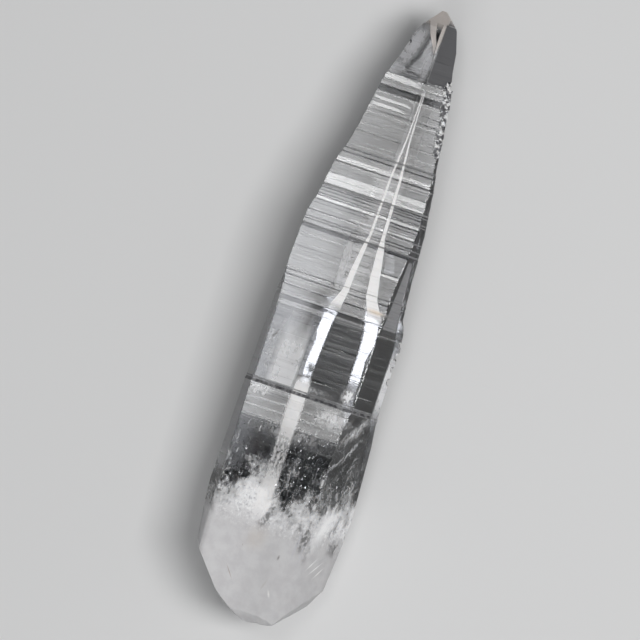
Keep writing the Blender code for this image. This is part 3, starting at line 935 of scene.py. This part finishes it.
    # Broken places take their painted sparkle, from dark shade to white glints.
    chip, painted_sparkle = chip_share(graph, place)
    colour = graph.mix(chip, colour, graph.mix(painted_sparkle, (0.03, 0.03, 0.04, 1), (0.97, 0.97, 0.97, 1)))
    cloud_and_painted_light = graph.larger(cloud_and_painted_light, chip)
    graph.link(graph.math("SUBTRACT", 1.0, cloud_and_painted_light), graph.shader.inputs["Transmission Weight"])
    graph.link(colour, graph.shader.inputs["Base Color"])
    under = graph.ramp(height, 0.02, 0.3, RESTING_ROUGHNESS, 0.0)
    matt = graph.ramp(cloud_and_painted_light, 0.0, 0.9, 0.0, 0.45)
    matt = graph.larger(matt, graph.times(milk, 0.75))
    graph.link(graph.larger(matt, under), graph.shader.inputs["Roughness"])
    graph.shader.inputs["IOR"].default_value = 1.544
    graph.shader.inputs["Subsurface Weight"].default_value = 0.5
    graph.shader.inputs["Subsurface Scale"].default_value = 0.0004
    graph.shader.inputs["Subsurface Radius"].default_value = (1.0, 0.95, 0.9)
    absorption = graph.node("ShaderNodeVolumeAbsorption")
    absorption.inputs["Color"].default_value = (0.70, 0.72, 0.76, 1)
    absorption.inputs["Density"].default_value = 40.0
    graph.tree.links.new(absorption.outputs[0], graph.tree.nodes["Material Output"].inputs["Volume"])
    return material


def veil_material():
    """Silvery air-filled cracks."""
    material = bpy.data.materials.new("silvery_veils")
    graph = Graph(material)
    place = graph.stretched(graph.node("ShaderNodeTexCoord").outputs["Object"], 1000, 1000, 1000)
    tone = graph.noise(place, 1.5, 4)
    graph.link(graph.mix(tone, (0.75, 0.76, 0.78, 1), (0.98, 0.98, 0.98, 1)), graph.shader.inputs["Base Color"])
    graph.shader.inputs["Metallic"].default_value = 1.0
    graph.shader.inputs["Roughness"].default_value = 0.22
    return material


def inside(points, margin):
    """Which points (across, along, height) lie inside the crystal by this margin."""
    reach = face_reach(points[:, 1])
    within = [reach_of(face, (points[:, 0], points[:, 2])) < reach[face] - margin for face in FACES]
    return np.all(within, axis=0)


def cloud_points(generator):
    """Places for loose flakes: clouds that thin out away from the milky base."""
    tries = VEIL_COUNT * 8
    distance = VEIL_FROM + (VEIL_TO - VEIL_FROM) * generator.random(tries) ** 1.3
    points = np.stack([generator.uniform(-14, 14, tries), distance, generator.uniform(0, THICKNESS, tries)], axis=-1)
    points = points[inside(points, VEIL_MARGIN)]
    density = np.array([noise.fractal(Vector(p) * CLOUD_SCALE, 0.8, 2.0, 4) for p in points])
    return points[density > generator.uniform(-0.5, 0.6, len(points))][:VEIL_COUNT]


def sheet_points(generator):
    """Places for flakes on healed cracks: wavy planes that lie across the crystal."""
    found = []
    for (x, y, z), (lean_x, lean_z), radius in VEIL_SHEETS:
        spread = generator.normal(0, radius, (SHEET_COUNT, 2))
        wave = [noise.noise(Vector((a * 0.3, b * 0.3, y))) for a, b in spread]
        level = y + spread[:, 0] * lean_x + spread[:, 1] * lean_z + np.array(wave) * 1.5
        found.append(np.stack([x + spread[:, 0], level, z + spread[:, 1]], axis=-1))
    points = np.concatenate(found)
    return points[inside(points, VEIL_MARGIN)]


def veils(shift):
    """Small bright flakes above the milky base, each a thin closed sliver."""
    generator = np.random.default_rng(SEED + 1)
    centres = np.concatenate([cloud_points(generator), sheet_points(generator)])
    sizes = VEIL_SIZE * np.exp(np.clip(generator.normal(0, 0.45, len(centres)), -1.0, 0.8))
    vertices, faces = [], []
    for centre, size in zip(centres, sizes):
        turn = Matrix.Rotation(generator.uniform(0, 2 * math.pi), 3, "Y")
        turn = turn @ Matrix.Rotation(generator.normal(0, 0.5), 3, "X")
        turn = turn @ Matrix.Rotation(generator.normal(0, 0.5), 3, "Z")
        start = len(vertices)
        for x, y in ((-1, -1), (1, -0.6), (0.2, 1.6), (-0.3, 0.3)):
            point = Vector((x * 0.5, y, 0)) * size * generator.uniform(0.6, 1.2)
            point.z = generator.normal(0, 0.08) * size
            vertices.append((Vector(centre) + turn @ point) * MM + shift)
        vertices[-1] += turn @ Vector((0, 0, 0.25 * size)) * MM
        faces += [(start + a, start + b, start + c) for a, b, c in ((0, 2, 1), (0, 1, 3), (1, 2, 3), (2, 0, 3))]
    mesh = bpy.data.meshes.new("veils")
    mesh.from_pydata([tuple(v) for v in vertices], [], faces)
    mesh.update()
    mesh.materials.append(veil_material())
    piece = bpy.data.objects.new("inner_veils", mesh)
    bpy.context.scene.collection.objects.link(piece)
    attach(piece, "root")


def crystal():
    mesh = crystal_mesh()
    shift = place_in_box(mesh)
    mesh.materials.append(quartz_material())
    piece = bpy.data.objects.new("quartz_crystal", mesh)
    bpy.context.scene.collection.objects.link(piece)
    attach(piece, "root")
    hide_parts("quartz_point")
    return shift


def floor():
    bpy.ops.mesh.primitive_plane_add(size=4.0, location=(0, 0, -AIR_GAP))
    ground = bpy.context.object
    ground.name = "floor"
    material = bpy.data.materials.new("pale_floor")
    material.use_nodes = True
    shader = material.node_tree.nodes["Principled BSDF"]
    shader.inputs["Base Color"].default_value = (0.7, 0.7, 0.7, 1)
    shader.inputs["Roughness"].default_value = 0.9
    ground.data.materials.append(material)


def softbox(name, place, target, size, radiance):
    """A rectangular lamp of this width and height in metres that looks this bright from any side."""
    data = bpy.data.lights.new(name, "AREA")
    data.shape = "RECTANGLE"
    data.size, data.size_y = size
    data.energy = radiance * math.pi * size[0] * size[1]
    lamp = bpy.data.objects.new(name, data)
    bpy.context.scene.collection.objects.link(lamp)
    lamp.location = place
    lamp.rotation_euler = (Vector(target) - Vector(place)).to_track_quat("-Z", "Y").to_euler()
    return lamp


def lights():
    """Soft lamps overhead, each where a group of faces reflects it, a key light and a low fill on the right."""
    softbox("overhead", (-0.083, 0.0, 1.05), (-0.083, 0.0, 0), (0.2, 0.1), 0.9)
    softbox("strip_near", (-0.083, 0.08, 1.05), (-0.083, 0.08, 0), (0.2, 0.06), 5.0)
    softbox("strip_bright", (-0.083, 0.135, 1.05), (-0.083, 0.135, 0), (0.2, 0.05), 12.0)
    softbox("strip_far", (-0.083, 0.23, 1.05), (-0.083, 0.23, 0), (0.2, 0.14), 5.0)
    softbox("spine_near", (0.085, 0.03, 1.05), (0.085, 0.03, 0), (0.12, 0.14), 2.6)
    softbox("spine_low", (0.055, -0.27, 1.05), (0.055, -0.27, 0), (0.19, 0.46), 2.6)
    softbox("spine_far", (-0.02, -0.8, 1.05), (-0.02, -0.8, 0), (0.5, 0.62), 2.6)
    softbox("key", (0.42, 0.05, 1.0), (0, 0, 0), (0.28, 0.5), 16.0)
    softbox("fill", (1.0, 0.1, 0.42), (0, 0, 0), (0.5, 0.9), 0.4)


def world():
    scene = bpy.context.scene
    scene.world = bpy.data.worlds.new("studio")
    scene.world.use_nodes = True
    back = scene.world.node_tree.nodes["Background"]
    back.inputs["Color"].default_value = (0.9, 0.95, 1.0, 1)
    back.inputs["Strength"].default_value = 0.06


def camera():
    """The camera looks down on the crystal, rolled a little to its right, so that it leans as in the photograph."""
    roll, lean = math.radians(ROLL_DEGREES), math.radians(LEAN_DEGREES)
    across = Vector((math.cos(roll), 0, -math.sin(roll)))
    back = Vector((math.sin(roll), 0, math.cos(roll)))
    tipwards = Vector((0, 1, 0))
    right = across * math.cos(lean) + tipwards * math.sin(lean)
    up = tipwards * math.cos(lean) - across * math.sin(lean)
    target = across * VIEW_ACROSS + tipwards * VIEW_ALONG + back * VIEW_HEIGHT
    data = bpy.data.cameras.new("camera")
    data.sensor_width = SENSOR
    data.lens = SENSOR * CAMERA_DISTANCE / (FRAME_PIXELS * PIXEL)
    data.clip_start = 0.01
    view = bpy.data.objects.new("camera", data)
    bpy.context.scene.collection.objects.link(view)
    turn = Matrix((right, up, back)).transposed()
    view.matrix_world = Matrix.Translation(target + back * CAMERA_DISTANCE) @ turn.to_4x4()
    bpy.context.scene.camera = view


def render_looks():
    scene = bpy.context.scene
    scene.view_settings.view_transform = "Standard"
    scene.cycles.max_bounces = 24
    scene.cycles.transmission_bounces = 24
    scene.cycles.glossy_bounces = 12
    scene.cycles.caustics_refractive = False
    scene.cycles.caustics_reflective = False


camera()
veils(crystal())
floor()
lights()
world()
render_looks()
